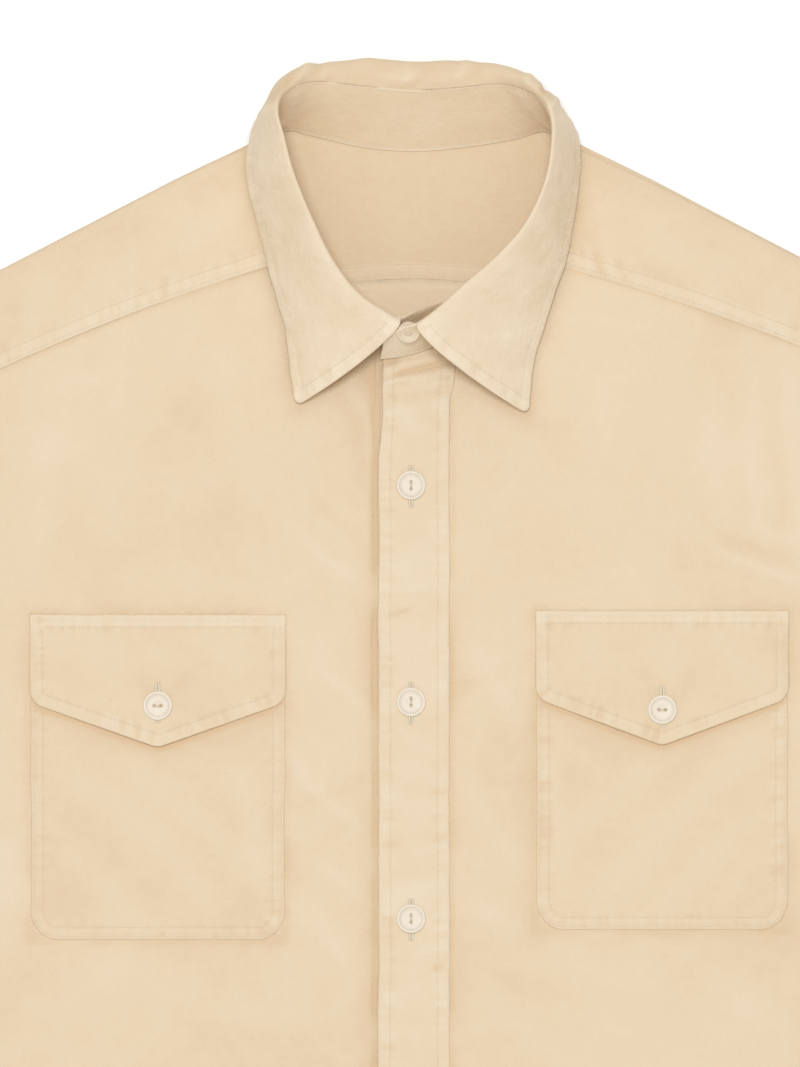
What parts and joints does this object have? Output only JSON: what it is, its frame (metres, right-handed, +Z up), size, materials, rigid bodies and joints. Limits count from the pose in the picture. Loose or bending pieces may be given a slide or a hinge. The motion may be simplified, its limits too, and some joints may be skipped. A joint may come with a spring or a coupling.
{
  "type": "overshirt",
  "caption": "Long-sleeved cotton overshirt buttoned up and laid flat, with pointed collar, yoke over the shoulders and flapped chest pockets.",
  "frame": {"origin": "centre of the bounding box in X and Y, on the surface that the shirt lies on", "axes": "+Z up out of the cloth, +Y from the hem to the collar, +X to the wearer's left, which is the viewer's right"},
  "size_m": [1.498, 0.8066, 0.0409],
  "materials": {
    "shirting": "matt plain-weave cotton, washed",
    "doubled": "matt plain-weave cotton in two layers, stiffened",
    "button": "off-white, satin"
  },
  "bodies": {
    "root": {"back": "shirting", "yoke_back": "shirting", "yoke_right": "shirting", "yoke_left": "shirting", "front_right": "shirting", "front_left": "shirting", "sleeve_right": "shirting", "sleeve_left": "shirting", "sleeve_slit_right": "shirting", "sleeve_slit_left": "shirting", "pocket_right": "shirting", "pocket_left": "shirting", "front_band": "doubled", "collar_stand": "doubled", "collar_leaf": "doubled", "pocket_flap_right": "doubled", "pocket_flap_left": "doubled", "cuff_right": "doubled", "cuff_left": "doubled", "collar_button": "button", "front_button_1": "button", "front_button_2": "button", "front_button_3": "button", "front_button_4": "button", "front_button_5": "button", "pocket_button_right": "button", "pocket_button_left": "button", "cuff_button_right": "button", "cuff_button_left": "button"}
  },
  "joints": []
}
